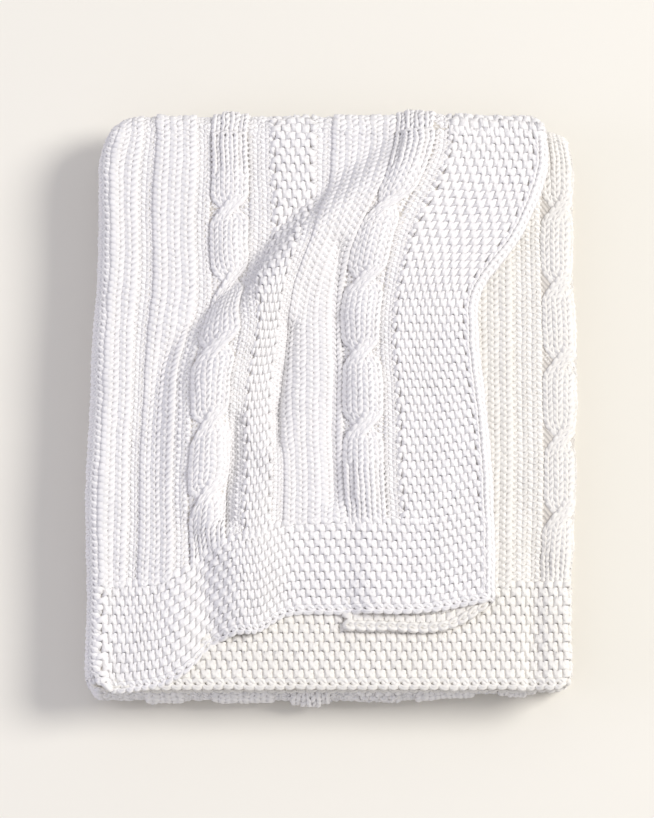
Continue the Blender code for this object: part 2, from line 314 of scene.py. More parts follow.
# How the top leaf lies, from front to back: share of the depth, shift of the middle of the leaf
# to the left, share of it before the first cable, middle and width of the stretch that is
# squeezed after it, middle and half width of the ridge's steep side, its share of the height
# and its lean
DRAPE = (
    (0.000, -0.042, 0.36, 0.157, 0.095, 0.084, 0.026, 0.10, 0.0),
    (0.070, -0.042, 0.36, 0.157, 0.095, 0.084, 0.026, 0.20, 0.0),
    (0.250, -0.042, 0.36, 0.157, 0.095, 0.080, 0.024, 0.30, 0.0),
    (0.380, -0.042, 0.36, 0.157, 0.095, 0.074, 0.022, 0.42, 0.0),
    (0.467, -0.043, 0.36, 0.157, 0.095, 0.072, 0.021, 0.62, 0.0),
    (0.530, -0.044, 0.30, 0.158, 0.095, 0.080, 0.024, 0.74, 0.1),
    (0.605, -0.045, 0.12, 0.160, 0.110, 0.096, 0.026, 0.84, 0.2),
    (0.674, -0.044, 0.00, 0.165, 0.130, 0.126, 0.026, 0.96, 0.25),
    (0.778, -0.036, 0.00, 0.195, 0.130, 0.166, 0.026, 1.00, 0.2),
    (0.880, -0.013, 0.00, 0.235, 0.120, 0.215, 0.025, 0.66, 0.0),
    (0.958, 0.000, 0.00, 0.260, 0.120, 0.256, 0.018, 0.34, 0.0),
    (1.000, 0.000, 0.00, 0.260, 0.120, 0.256, 0.018, 0.34, 0.0),
)
EARLY_SQUEEZE = (0.045, 0.080)  # middle and width, before the first cable
RIDGE_HEIGHT, RIDGE_TAIL = 0.0180, 0.062
RIDGE_LEAN, LEAN_AT, LEAN_WIDTH = 0.013, 0.008, 0.013
RIDGE_FOOT, FOOT_WIDTH = 0.0030, 0.011  # depth of the hollow along the ridge's foot
BACK_DROOP, BACK_DROOP_RUN = 0.17, 0.045  # share of the height over the hinge line, at the back
SECOND_CABLE = 0.2616  # from the left fold to the middle of the second cable
EDGE_AT_BACK = 0.022
CREASE_INSET, CREASE_DEPTH = 0.028, 0.0045  # of the right leaf's crease beside its fold
CREASE_WIDTH, CREASE_LENGTH, CREASE_FADE = 0.006, 0.17, 0.08
RIPPLE, SIDE_WAVER, LENGTH_WAVER = 0.0012, 0.0016, 0.0014  # of a leaf that lies loose
SAG, SAG_RAMP = 0.0030, 0.024  # of the loose part of the leaf, beside the tucked margin
HEM_DROOP, HEM_DROOP_RUN = 0.0065, 0.045
DRAPE_END = 0.55  # share of the back fold's arc by which the drape has died out
TIGHTENS_FROM, TIGHTENS_OVER = 0.03, 0.17  # in X, for the front fold
LEAF_RAMP, EDGE_RAMP = 0.01, 0.05  # over which the drape sets in at the leaf's fold and free edge
# Soft folds: start and end in shares of width and depth, height, half width
SOFT_FOLDS = (
    ((0.225, 0.26), (0.260, 0.05), -0.0065, 0.014),
    ((0.315, 0.30), (0.325, 0.08), 0.0055, 0.024),
    ((0.37, 0.42), (0.36, 0.22), 0.0040, 0.018),
    ((0.295, 0.46), (0.285, 0.29), -0.0068, 0.008),
    ((0.405, 0.62), (0.385, 0.42), -0.0062, 0.008),
    ((0.505, 0.76), (0.505, 0.32), -0.0056, 0.008),
    ((0.60, 0.50), (0.56, 0.10), 0.0022, 0.035),
    ((0.75, 0.66), (0.62, 0.62), 0.0030, 0.016),
)


def soft_folds(x, y):
    """The height that the soft folds add at a place."""
    height = np.zeros_like(x)
    for (u0, v0), (u1, v1), rise, half_width in SOFT_FOLDS:
        ax, ay = X_LEFT + u0 * WIDTH, Y_FRONT + v0 * DEPTH
        dx, dy = (u1 - u0) * WIDTH, (v1 - v0) * DEPTH
        t = ((x - ax) * dx + (y - ay) * dy) / (dx * dx + dy * dy)
        away = np.hypot(x - ax - np.clip(t, 0, 1) * dx, y - ay - np.clip(t, 0, 1) * dy)
        height += rise * np.exp(-((away / half_width) ** 2))
    return height


def top_place(s, t):
    """The top third. Its left leaf is drawn to the left, and the slack stands as a ridge."""
    x, z = section(s, "top")
    droop = BACK_DROOP * ease((t - THIRD_LENGTH) / BACK_DROOP_RUN + 1)
    z = HINGE_BACK[1] + (z - HINGE_BACK[1]) * (1 - droop)
    u = np.clip(s - LEFT_START, 0, LEFT_LEAF)
    on_leaf = ease((s - LEFT_START) / LEAF_RAMP)
    hem_x = FLAT_LEFT + u * (LEFT_LEAF + EDGE_AT_BACK - TOP_EDGE[0][1]) / LEFT_LEAF
    leaf_hem = follow(TOP_HEM, (hem_x - X_LEFT) / WIDTH)
    back_from_edge = np.clip(s - MARGIN_START, 0, TUCK_WIDTH)
    margin_x = FLAT_LEFT + LEFT_LEAF + EDGE_AT_BACK - TOP_EDGE[0][1] - back_from_edge
    under_hem = follow(MARGIN_HEM, (margin_x - X_LEFT) / WIDTH)
    turned = ease((s - LEFT_END) / NARROW_FOLD)
    setback = Y_FRONT + leaf_hem * (1 - turned) + under_hem * turned
    hem = HEM_FRONT + (setback - HEM_FRONT) * ease((s - CENTRE_END) / WIDE_FOLD)
    y = hem + t * (FLAT_BACK - hem) / THIRD_LENGTH
    share = (y - Y_FRONT) / DEPTH

    rows = np.array(DRAPE)
    shift, early, squeeze_at, squeeze_width, ridge_at, ridge_half, ridge_share, lean = (
        follow(list(zip(rows[:, 0], rows[:, k])), share) for k in range(1, 9)
    )
    edge_shift = EDGE_AT_BACK - follow(TOP_EDGE, share)
    early_run = ease((u - EARLY_SQUEEZE[0]) / EARLY_SQUEEZE[1] + 0.5)
    late_run = ease((u - squeeze_at) / squeeze_width + 0.5)
    x += on_leaf * shift * (early * early_run + (1 - early) * late_run)
    x += (edge_shift - shift) * ease((u - SECOND_CABLE) / (LEFT_LEAF - SECOND_CABLE))
    past = u - ridge_at
    rise = ease(past / ridge_half / 2 + 0.5)
    tail = np.exp(-((np.clip(past - ridge_half, 0, None) / RIDGE_TAIL) ** 2))
    fade = on_leaf * ease((LEFT_LEAF - u) / EDGE_RAMP)
    z += RIDGE_HEIGHT * ridge_share * rise * tail * fade
    foot = np.exp(-(((past + ridge_half + 0.002) / FOOT_WIDTH) ** 2))
    z -= RIDGE_FOOT * foot * ease((ridge_share - 0.4) / 0.5) * ease((0.9 - share) / 0.1) * fade
    x -= RIDGE_LEAN * lean * np.exp(-(((past - LEAN_AT) / LEAN_WIDTH) ** 2)) * fade
    loose = 1 - ease((u - (LEFT_LEAF - TUCK_WIDTH - 0.004)) / SAG_RAMP)
    z -= SAG * loose * on_leaf
    z -= HEM_DROOP * (0.35 + 0.65 * loose) * ease(1 - t / HEM_DROOP_RUN) * on_leaf * (1 - turned)
    z += soft_folds(x, y) * fade
    beside = np.exp(-(((x - FLAT_RIGHT + CREASE_INSET) / CREASE_WIDTH) ** 2))
    beside *= ease((RIGHT_END - s) / LEAF_RAMP)
    z -= CREASE_DEPTH * beside * ease((CREASE_LENGTH - t) / CREASE_FADE)
    z += RIPPLE * np.sin(41 * x + 23 * y) * np.sin(37 * y - 19 * x + 1) * fade
    x = x + SIDE_WAVER * np.sin(38 * y + 9 * x) * np.sin(17 * y + 23 * x + 2) * fade
    y = y + LENGTH_WAVER * np.sin(33 * x - 11 * y + 1) * ease((FLAT_BACK - y) / EDGE_RAMP) * on_leaf
    return np.stack([x, y, z], axis=-1)


def middle_place(s, t):
    x, z = section(s, "middle")
    return np.stack([x, FLAT_BACK - t, z], axis=-1)


def bottom_place(s, t):
    x, z = section(s, "bottom")
    return np.stack([x, FLAT_FRONT + t, z], axis=-1)


def fold_place(hinge, side, third, arc):
    """A third's section carried round a cross fold, from the third above the hinge to that below."""
    hinge_y, hinge_z = hinge

    def place(s, t):
        x, z = section(s, third)
        if third == "top":  # the drape dies out as the cloth goes round the back
            end = top_place(s, np.full_like(t, THIRD_LENGTH))
            still = 1 - ease(t / arc / DRAPE_END)
            x, z = x + (end[..., 0] - x) * still, z + (end[..., 2] - z) * still
        turn = np.clip(t / arc, 0, 1) * math.pi
        beyond = t - np.clip(t, 0, arc)
        straight = np.where(t < 0, beyond, -beyond)
        reach = side * ((z - hinge_z) * np.sin(turn) + straight)
        if third == "middle":  # the front is folded tighter towards the right
            reach = reach * (1 - FRONT_TIGHTENS * ease((x - TIGHTENS_FROM) / TIGHTENS_OVER))
        return np.stack([x, hinge_y + reach, hinge_z + (z - hinge_z) * np.cos(turn)], axis=-1)

    return place


# ----------------------------------------------------------
# The yarn.
# Soft cotton, several strands plied loosely and spun thick, off-white with a matt, slightly
# hairy surface. The cloth core deep between the stitches is painted a touch warmer and darker, as painted
# shade.
# ----------------------------------------------------------
# Each dim colour serves both the yarn's uneven tone and the painted shade in the grooves between its
# strands
IVORY, IVORY_DIM = (0.885, 0.865, 0.860, 1), (0.79, 0.77, 0.765, 1)
CREAM, CREAM_DIM = (0.865, 0.84, 0.805, 1), (0.78, 0.75, 0.70, 1)
# Painted shade: the core is coloured darker than the yarn to stand in for the shade deep between the
# stitches
CORE, CORE_DIM = (0.69, 0.65, 0.60, 1), (0.57, 0.53, 0.48, 1)


def node(nodes, kind, **settings):
    made = nodes.new(kind)
    for name, value in settings.items():
        setattr(made, name, value)
    return made


def new_tree(name, kind, sockets):
    """An empty node tree with these sockets, its nodes, its joining call, and its two ends."""
    tree = bpy.data.node_groups.new(name, kind)
    for socket_name, socket_kind, side in sockets:
        tree.interface.new_socket(socket_name, in_out=side, socket_type=socket_kind)
    given, result = node(tree.nodes, "NodeGroupInput"), node(tree.nodes, "NodeGroupOutput")
    return tree, tree.nodes, tree.links.new, given.outputs, result.inputs


spun_yarn, inside, join, given, result = new_tree("spun_yarn", "ShaderNodeTree", (
    ("Bright", "NodeSocketColor", "INPUT"), ("Dim", "NodeSocketColor", "INPUT"),
    ("Place", "NodeSocketVector", "INPUT"), ("Along", "NodeSocketVector", "INPUT"),
    ("Strands", "NodeSocketFloat", "INPUT"), ("Twist", "NodeSocketFloat", "INPUT"),
    ("Colour", "NodeSocketColor", "OUTPUT"), ("Height", "NodeSocketFloat", "OUTPUT"),
))


def maths(kind, operation, *values):
    """The outcome of a maths node, from numbers, vectors or what other nodes give."""
    made = node(inside, kind, operation=operation)
    for socket, value in zip(made.inputs, values):
        if isinstance(value, (float, tuple)):
            socket.default_value = value
        else:
            join(value, socket)
    return made.outputs[0]


def noise(scale, detail, place):
    """A noise texture's two outputs at a place."""
    made = node(inside, "ShaderNodeTexNoise")
    made.inputs["Detail"].default_value = detail
    if isinstance(scale, float):
        made.inputs["Scale"].default_value = scale
    else:
        join(scale, made.inputs["Scale"])
    join(place, made.inputs["Vector"])
    return made.outputs


SUMS, VECTORS = "ShaderNodeMath", "ShaderNodeVectorMath"
# Each strand winds round the yarn, so the stripes run slanting along it
split = node(inside, "ShaderNodeSeparateXYZ")
join(given["Along"], split.inputs[0])
round_it = maths(SUMS, "MULTIPLY", split.outputs["X"], given["Strands"])
along_it = maths(SUMS, "MULTIPLY", split.outputs["Y"], given["Twist"])
wave = maths(SUMS, "SINE", maths(SUMS, "ADD", round_it, along_it))
fluff = noise(900.0, 3, given["Place"])["Fac"]
join(maths(SUMS, "ADD", wave, maths(SUMS, "MULTIPLY", fluff, 1.6)), result["Height"])
# The dye and the spinning are a little uneven from place to place, and painted shade darkens the colour in
# the grooves between the strands
patch = noise(45.0, 4, given["Place"])["Fac"]
tone_and_groove_shade = node(inside, "ShaderNodeMix", data_type="RGBA", clamp_factor=True)
# painted shade: the strand wave pulls the colour towards the dim colour in the grooves
join(maths(SUMS, "MULTIPLY_ADD", wave, -0.22, patch), tone_and_groove_shade.inputs[0])
join(given["Bright"], tone_and_groove_shade.inputs[6])
join(given["Dim"], tone_and_groove_shade.inputs[7])
join(tone_and_groove_shade.outputs[2], result["Colour"])


def yarn_material(name, bright, dim, uv_map, strands, twist, depth):
    made, nodes, links, shader = new_material(name)
    group = node(nodes, "ShaderNodeGroup", node_tree=spun_yarn)
    for socket, value in (("Bright", bright), ("Dim", dim), ("Strands", strands), ("Twist", twist)):
        group.inputs[socket].default_value = value
    place = node(nodes, "ShaderNodeTexCoord")
    along = node(nodes, "ShaderNodeUVMap", uv_map=uv_map)
    links.new(place.outputs["Object"], group.inputs["Place"])
    links.new(along.outputs["UV"], group.inputs["Along"])
    links.new(group.outputs["Colour"], shader.inputs["Base Color"])
    bump = node(nodes, "ShaderNodeBump")
    bump.inputs["Strength"].default_value = 0.6
    bump.inputs["Distance"].default_value = depth
    links.new(group.outputs["Height"], bump.inputs["Height"])
    links.new(bump.outputs["Normal"], shader.inputs["Normal"])
    for socket, value in (
        ("Roughness", 0.9), ("Sheen Weight", 0.15), ("Sheen Roughness", 0.6), ("Specular IOR Level", 0.2),
    ):
        shader.inputs[socket].default_value = value
    return made


# Three strands in radians round the yarn, their twist in radians a centimetre, their depth
SPINNING = (18.85, 8.0, 0.00025)
# Radians a metre: two stripes to a wale across the cloth and one to a row along it
GROUND = (1496, 1164, 0.0006)
ivory_yarn = yarn_material("ivory_yarn", IVORY, IVORY_DIM, "yarn", *SPINNING)
cream_yarn = yarn_material("cream_yarn", CREAM, CREAM_DIM, "yarn", *SPINNING)
cloth_core_painted_shade = yarn_material("cloth_core_painted_shade", CORE, CORE_DIM, "flat", *GROUND)

# ----------------------------------------------------------
# The stitches.
# Each is one loop of yarn: a foot, two legs and a head. On a knit stitch the legs lie in front,
# on a purl stitch the head and the feet. A chart says which stitch sits where on the cloth.
# ----------------------------------------------------------
WALE, ROW = 0.0084, 0.0054
YARN_RADIUS = 0.00225
LOOP_MIDDLE, LOOP_DEPTH = 0.0015, 0.0009  # of the yarn's own line, over the middle of the cloth
LEG_LEAN, LOOP_REACH = 0.23 * WALE, 0.90 * ROW
RIB_LEAN, RIB_REACH, RIB_YARN = 0.34 * WALE, 0.72 * ROW, 0.0025
GARTER_LEAN, GARTER_REACH, GARTER_YARN = 0.15 * WALE, 0.47 * ROW, 0.0028
OVERLAP_ANGLE = 0.3  # by which each loop runs on into the next
CABLE_WALE, CABLE_ROWS = 0.0079, 12
CABLE_TURN = CABLE_ROWS * ROW
CABLE_LEAN, CABLE_YARN = 0.29 * WALE, 1.04 * YARN_RADIUS
CABLE_HALF = 2.1  # wales from the middle of a cable to its edge
CABLE_SWELL, CABLE_RISE = 0.0042, 0.030  # its height, and the run in which it rises from a band
CABLE_EDGE_DROP = 0.0020  # of the purl stitches at its edges
CROSSING_HALF, CROSSING_PINCH = 0.0110, 0.23
CROSSING_LIFT, CROSSING_SINK = 0.0007, 0.0014
LINK_YARN, LINK_HALF, LINK_LOW, LINK_ARCH = 0.0024, 0.0030, 0.0014, 0.0012
CORE_THICKNESS = 0.0022  # of the cloth between its stitches
UNEVENNESS, FOLD_UNEVENNESS, PATCH_SCALE = 0.0030, 0.0060, 90.0  # of how the yarn lies
KNIT, PURL, CABLE, LINK, PLAIN_KNIT, PLAIN_PURL, PLAIN_CABLE, RIB, GARTER = range(9)
FINE, PLAIN = (10, 5), (6, 3)  # steps along a loop and sides round it

stitch_kinds = bpy.data.collections.new("stitch_kinds")


def tube(centre, radius, sides, loops):
    """Adds a tube along centre, an array of points, that narrows at its ends."""
    run = np.gradient(centre, axis=0)
    run /= np.linalg.norm(run, axis=1, keepdims=True)
    side = np.cross(run, (0, 0, 1.0))
    side /= np.linalg.norm(side, axis=1, keepdims=True)
    up = np.cross(side, run)
    angle = 2 * math.pi * np.arange(sides) / sides
    width = np.full(len(centre), radius)
    width[[0, -1]] *= 0.5
    ring = side[:, None] * np.cos(angle)[None, :, None] + up[:, None] * np.sin(angle)[None, :, None]
    loops.append((centre[:, None] + ring * width[:, None, None], sides))


def stitch_object(name, loops):
    """A mesh of closed tubes, with places round and along the yarn as its UV map."""
    points, faces, places, start = [], [], [], 0
    for rings, sides in loops:
        count = len(rings)
        length = np.linalg.norm(np.diff(rings.mean(axis=1), axis=0), axis=1)
        far = np.concatenate([[0], np.cumsum(length)]) * 100
        points += rings.reshape(-1, 3).tolist()
        for i in range(count - 1):
            for k in range(sides):
                m = (k + 1) % sides
                a, b = start + i * sides, start + (i + 1) * sides
                faces.append((a + k, a + m, b + m, b + k))
                u0, u1 = k / sides, (k + 1) / sides
                places += [(u0, far[i]), (u1, far[i]), (u1, far[i + 1]), (u0, far[i + 1])]
        faces.append(tuple(start + k for k in reversed(range(sides))))
        faces.append(tuple(start + (count - 1) * sides + k for k in range(sides)))
        places += [(k / sides, far[0]) for k in reversed(range(sides))]
        places += [(k / sides, far[-1]) for k in range(sides)]
        start += count * sides
    mesh = bpy.data.meshes.new(name)
    mesh.from_pydata(points, [], faces)
    mesh.uv_layers.new(name="yarn").data.foreach_set("uv", np.array(places).ravel())
    made = bpy.data.objects.new(name, mesh)
    stitch_kinds.objects.link(made)


def loop_line(count, wale=WALE, sign=1, lean=LEG_LEAN, reach=LOOP_REACH):
    """The yarn's line through one stitch: sign 1 is a knit stitch, -1 a purl stitch."""
    a = np.linspace(-OVERLAP_ANGLE, 2 * math.pi + OVERLAP_ANGLE, count + 1)
    x = wale * a / (2 * math.pi) + lean * wale / WALE * np.sin(2 * a)
    return np.stack([x, -reach * np.cos(a), LOOP_MIDDLE - sign * LOOP_DEPTH * np.cos(2 * a)], axis=1)


def cable_loops(count, sides):
    """One turn of a cable: two pairs of knit columns, of which the right pair crosses in front."""
    loops = []
    for front in (1, -1):
        for column in (-0.5, 0.5):
            for row in range(CABLE_ROWS):
                line = loop_line(count, CABLE_WALE, lean=CABLE_LEAN)
                line[:, 0] += (column - 0.5) * CABLE_WALE
                y = line[:, 1] + (row + 0.5) * ROW - CABLE_TURN / 2
                swing = np.sin(math.pi / 2 * np.clip(y / CROSSING_HALF, -1, 1))
                crossing = ease(1.35 - np.abs(y) / CROSSING_HALF)
                x = (line[:, 0] + front * CABLE_WALE * swing) * (1 - CROSSING_PINCH * crossing)
                lift = CROSSING_LIFT if front > 0 else -CROSSING_SINK
                fullness = np.cos(math.pi * y / CABLE_TURN) ** 2
                swell = CABLE_SWELL * (1 - (x / CABLE_WALE / CABLE_HALF) ** 2) * (1 - 0.8 * fullness)
                z = line[:, 2] + lift * crossing + swell
                tube(np.stack([x, y, z], axis=1), CABLE_YARN, sides, loops)
    return loops


def simple_loops(line, sides, radius=YARN_RADIUS):
    loops = []
    tube(line, radius, sides, loops)
    return loops


def link_loops():
    """One link of the chain along a hem: two slanting strands that lie over the next link."""
    loops = []
    a = np.linspace(0, 1, 7)
    for side in (-1, 1):
        x = WALE * (-0.15 + 1.3 * a)
        y = side * LINK_HALF * np.sin(math.pi * np.clip(a * 1.1, 0, 1)) + side * 0.0004
        tube(np.stack([x, y, LINK_LOW + LINK_ARCH * np.sin(math.pi * a)], axis=1), LINK_YARN, 5, loops)
    return loops


stitch_object("0_knit_stitch", simple_loops(loop_line(FINE[0]), FINE[1]))
stitch_object("1_purl_stitch", simple_loops(loop_line(FINE[0], sign=-1), FINE[1]))
stitch_object("2_cable_turn", cable_loops(*FINE))
stitch_object("3_chain_link", link_loops())
stitch_object("4_plain_knit_stitch", simple_loops(loop_line(PLAIN[0]), PLAIN[1]))
stitch_object("5_plain_purl_stitch", simple_loops(loop_line(PLAIN[0], sign=-1), PLAIN[1]))
stitch_object("6_plain_cable_turn", cable_loops(*PLAIN))
stitch_object("7_rib_stitch", simple_loops(
    loop_line(FINE[0], lean=RIB_LEAN, reach=RIB_REACH), FINE[1], RIB_YARN))
stitch_object("8_garter_stitch", simple_loops(
    loop_line(FINE[0], sign=-1, lean=GARTER_LEAN, reach=GARTER_REACH), FINE[1], GARTER_YARN))

# The tree sets a stitch on each point of a chart, then lays the chart on the cloth
stitch_tree, inside, join, given, result = new_tree("stitches_on_cloth", "GeometryNodeTree", (
    ("Chart", "NodeSocketGeometry", "INPUT"), ("Cloth", "NodeSocketObject", "INPUT"),
    ("Stitches", "NodeSocketCollection", "INPUT"), ("Yarn", "NodeSocketMaterial", "INPUT"),
    ("Unevenness", "NodeSocketFloat", "INPUT"), ("Patch Scale", "NodeSocketFloat", "INPUT"),
    ("Room", "NodeSocketFloat", "INPUT"), ("Knit", "NodeSocketGeometry", "OUTPUT"),
))


def chart_value(kind, name):
    made = node(inside, "GeometryNodeInputNamedAttribute", data_type=kind)
    made.inputs["Name"].default_value = name
    return made.outputs["Attribute"]


def scaled(vector, factor):
    made = node(inside, VECTORS, operation="SCALE")
    join(vector, made.inputs["Vector"])
    join(factor, made.inputs["Scale"])
    return made.outputs["Vector"]


kinds = node(inside, "GeometryNodeCollectionInfo")
kinds.inputs["Separate Children"].default_value = True
kinds.inputs["Reset Children"].default_value = True
join(given["Stitches"], kinds.inputs["Collection"])
set_out = node(inside, "GeometryNodeInstanceOnPoints")
set_out.inputs["Pick Instance"].default_value = True
join(given["Chart"], set_out.inputs["Points"])
join(kinds.outputs["Instances"], set_out.inputs["Instance"])
join(chart_value("INT", "kind"), set_out.inputs["Instance Index"])
join(chart_value("FLOAT_VECTOR", "turn"), set_out.inputs["Rotation"])
join(chart_value("FLOAT_VECTOR", "size"), set_out.inputs["Scale"])
realised = node(inside, "GeometryNodeRealizeInstances")
join(set_out.outputs[0], realised.inputs[0])
# Hand-fed yarn never lies quite even, so the flat stitches wander a little
place = node(inside, "GeometryNodeInputPosition").outputs[0]
wander = noise(given["Patch Scale"], 2, place)["Color"]
offset = scaled(maths(VECTORS, "SUBTRACT", wander, (0.5, 0.5, 0.5)), given["Unevenness"])
uneven = maths(VECTORS, "ADD", place, offset)
flat_place = maths(VECTORS, "MULTIPLY", uneven, (1, 1, 0))
over_cloth = node(inside, "ShaderNodeSeparateXYZ")
join(uneven, over_cloth.inputs[0])
cloth_info = node(inside, "GeometryNodeObjectInfo")
join(given["Cloth"], cloth_info.inputs["Object"])


def on_cloth(field):
    made = node(inside, "GeometryNodeSampleUVSurface", data_type="FLOAT_VECTOR")
    join(cloth_info.outputs["Geometry"], made.inputs["Mesh"])
    join(field, made.inputs["Value"])
    join(chart_value("FLOAT_VECTOR", "flat"), made.inputs["UV Map"])
    join(flat_place, made.inputs["Sample UV"])
    return made.outputs["Value"]


# Where something lies on the stitches they are pressed flat, and none goes into the floor
pressed_height = maths(SUMS, "MINIMUM", over_cloth.outputs["Z"], given["Room"])
lifted = scaled(on_cloth(chart_value("FLOAT_VECTOR", "facing")), pressed_height)
cloth_place = on_cloth(node(inside, "GeometryNodeInputPosition").outputs[0])
on_top = maths(VECTORS, "ADD", cloth_place, lifted)
laid = node(inside, "GeometryNodeSetPosition")
join(realised.outputs[0], laid.inputs["Geometry"])
join(maths(VECTORS, "MAXIMUM", on_top, (-9, -9, 0)), laid.inputs["Position"])
smooth = node(inside, "GeometryNodeSetShadeSmooth")
join(laid.outputs[0], smooth.inputs[0])
yarned = node(inside, "GeometryNodeSetMaterial")
join(smooth.outputs[0], yarned.inputs[0])
join(given["Yarn"], yarned.inputs["Material"])
join(yarned.outputs[0], result["Knit"])


def patch_of(kind, s, wales, wale, t, rows, row, raised=0.0, thick=1.0, flip=False):
    """Part of a chart: wales by rows of one stitch, from the place s, t. One line a stitch."""
    k, j = np.meshgrid(np.arange(wales), np.arange(rows), indexing="ij")
    k, j = k.ravel(), j.ravel()
    one = np.ones(len(k))
    return np.stack([
        s + k * wale, t + (j + 0.5) * row, raised * one, kind * one, one * wale / WALE,
        one * row / ROW, thick * one, one * (math.pi if flip else 0), 0 * one, 0 * one,
    ], axis=1)


def garter(s, wales, wale, t, ridges, ridge, thick=1.0, plain=False, flip=False):
    """Ridges of purl heads, which hide the knit row that lies sunk between each two."""
    kind = PLAIN_PURL if plain else GARTER
    made = patch_of(kind, s, wales, wale, t, ridges, ridge, 0.0, thick, flip)
    made[:, 0] += wale * (0.5 * (np.arange(len(made)) % ridges % 2) - 0.25)  # they interlock
    return made


def cable(middle, start, end, crossing, pitch, thick=1.0, plain=False):
    """A cable from start to end: its turns about each crossing, and plain columns at its ends."""
    made = []
    turn_kind, kind, purl = (PLAIN_CABLE, PLAIN_KNIT, PLAIN_PURL) if plain else (CABLE, KNIT, PURL)
    turns = int((end - crossing + pitch / 2 + 1e-6) // pitch)
    for number in range(turns):
        at = crossing + number * pitch
        made.append(np.array([[middle, at, 0, turn_kind, 1, pitch / CABLE_TURN, thick, 0, 0, 0]], float))
    turned = crossing - pitch / 2, crossing + (turns - 0.5) * pitch
    for low, high in ((start, turned[0]), (turned[1], end)):
        rows = round((high - low) / ROW)
        for wale in range(4 if rows else 0):
            x = (wale - 1.5) / CABLE_HALF
            column = patch_of(
                kind, middle + (wale - 2) * CABLE_WALE, 1, CABLE_WALE, low, rows, (high - low) / rows,
                CABLE_SWELL * (1 - x * x) * thick, thick,
            )
            column[:, 2] *= ease((column[:, 1] - start) / CABLE_RISE)  # it starts flat in the band
            made.append(column)
    # The purl stitches on both sides run in under the cable's edges
    rows = round((end - start) / ROW)
    for side in (-1, 1):
        made.append(patch_of(
            purl, middle + side * 1.5 * CABLE_WALE - CABLE_WALE / 2, 1, CABLE_WALE, start, rows,
            (end - start) / rows, -CABLE_EDGE_DROP * thick, thick,
        ))
    return np.concatenate(made)


def chain(s, length, t, thick=1.0, flip=False):
    """The cast-on chain along a hem."""
    links = round(length / WALE)
    return patch_of(LINK, s, links, length / links, t, 1, ROW, 0.0004, thick, flip)


def made_plain(thing):
    """The mesh that the thing's modifiers give."""
    graph = bpy.context.evaluated_depsgraph_get()
    return bpy.data.meshes.new_from_object(
        thing.evaluated_get(graph), preserve_all_data_layers=True, depsgraph=graph)


def lay_stitches(name, chart, guide, yarn, body=None,
                 unevenness=UNEVENNESS, room=0.05):
    """Knits a chart on the cloth that the guide shows, as one piece."""
    mesh = bpy.data.meshes.new(name)
    mesh.from_pydata(chart[:, :3].tolist(), [], [])
    mesh.attributes.new("kind", "INT", "POINT").data.foreach_set("value", chart[:, 3].astype(np.int32))
    mesh.attributes.new("size", "FLOAT_VECTOR", "POINT").data.foreach_set("vector", chart[:, 4:7].ravel())
    mesh.attributes.new("turn", "FLOAT_VECTOR", "POINT").data.foreach_set("vector", chart[:, 7:10].ravel())
    plan = in_scene(name + "_chart", mesh)
    modifier = plan.modifiers.new("stitches", "NODES")
    modifier.node_group = stitch_tree
    values = {
        "Cloth": guide, "Stitches": stitch_kinds, "Yarn": yarn,
        "Unevenness": unevenness, "Patch Scale": PATCH_SCALE, "Room": room,
    }
    for socket in stitch_tree.interface.items_tree:
        if socket.name in values:
            modifier[socket.identifier] = values[socket.name]
    knitted = made_plain(plan)
    knitted.name = name
    piece = in_scene(name, knitted)
    bpy.data.objects.remove(plan)
    carry(piece, body)
    return piece


def carry(piece, body=None):
    """The piece rides on one third, or stays where it lies when it has none."""
    if body:
        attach(piece, body)
    else:
        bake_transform(piece)


def lay_cloth(name, across, along, place, stands_for,
              body=None):
    """The cloth itself, under its stitches, as one thin closed sheet."""
    piece = sheet_mesh(name, across, along, place)
    walls = piece.modifiers.new("thickness", "SOLIDIFY")
    walls.thickness, walls.offset = CORE_THICKNESS, 0
    solid = made_plain(piece)
    piece.modifiers.clear()
    piece.data = solid
    # painted shade: the sheet's darker core colour stands in for the shade between the stitches
    piece.data.materials.append(cloth_core_painted_shade)
    carry(piece, body)
    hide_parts(*stands_for)


def nodes_of(prefix, *names):
    """The names of the solids that a sheet stands for."""
    return [f"{prefix}_{name}" for name in names]


# ----------------------------------------------------------
# Top third.
# The left leaf shows whole: ribs, purl channels, cables and a garter side border. Beside
# and below it show the right leaf and its hem. Each hem is a garter band with a chain edge.
# ----------------------------------------------------------
BAND, RIDGE = 0.085, 0.0077
BAND_RIDGES = 11
BODY_ROWS = 72
BORDER_WIDTH, BORDER_WALES, BORDER_RIDGE = 0.075, 9, 0.0080
SELVAGE_INSET, SELVAGE_ROWS = 0.005, 82  # of the two knit columns that go round the tuck fold
CABLE_WIDTH = 0.0340
FIRST_CABLE = 0.1053  # from the left fold to the middle of the first cable
# Each cable's first crossing, from the hem, and the length of its turns
LEFT_CROSSING, LEFT_PITCH = BAND + 0.052, 0.0665
RIGHT_CROSSING, RIGHT_PITCH = BAND + 0.092, 0.0740
STRIP_CROSSING, STRIP_PITCH, STRIP_THICK = BAND + 0.060, 0.0665, 0.5
HEM_INSET = 0.0015  # from the hem's edge to its first ridge, and of the chain beyond it
# From the left fold: kind, number of wales, width
LEFT_LEAF_WALES = (
    ("rib", 2, 0.0240), ("purl", 2, 0.0150), ("rib", 3, 0.0355), ("purl", 2, 0.0138),
    ("cable", 0, CABLE_WIDTH), ("purl", 3, 0.0211), ("garter", 4, 0.0324), ("purl", 2, 0.0170),
    ("rib", 5, 0.0518), ("cable", 0, CABLE_WIDTH), ("purl", 2, 0.0138),
)
WHOLE_LEAF_WALES = LEFT_LEAF_WALES + (("garter", 8, BORDER_WIDTH - SELVAGE_INSET),)
RIB_RISE, PURL_DROP, PLAIN_RISE = 0.0006, 0.0012, 0.0004
GARTER_SHARE = 0.66  # ridges to a row, in a strip of garter stitch inside the pattern


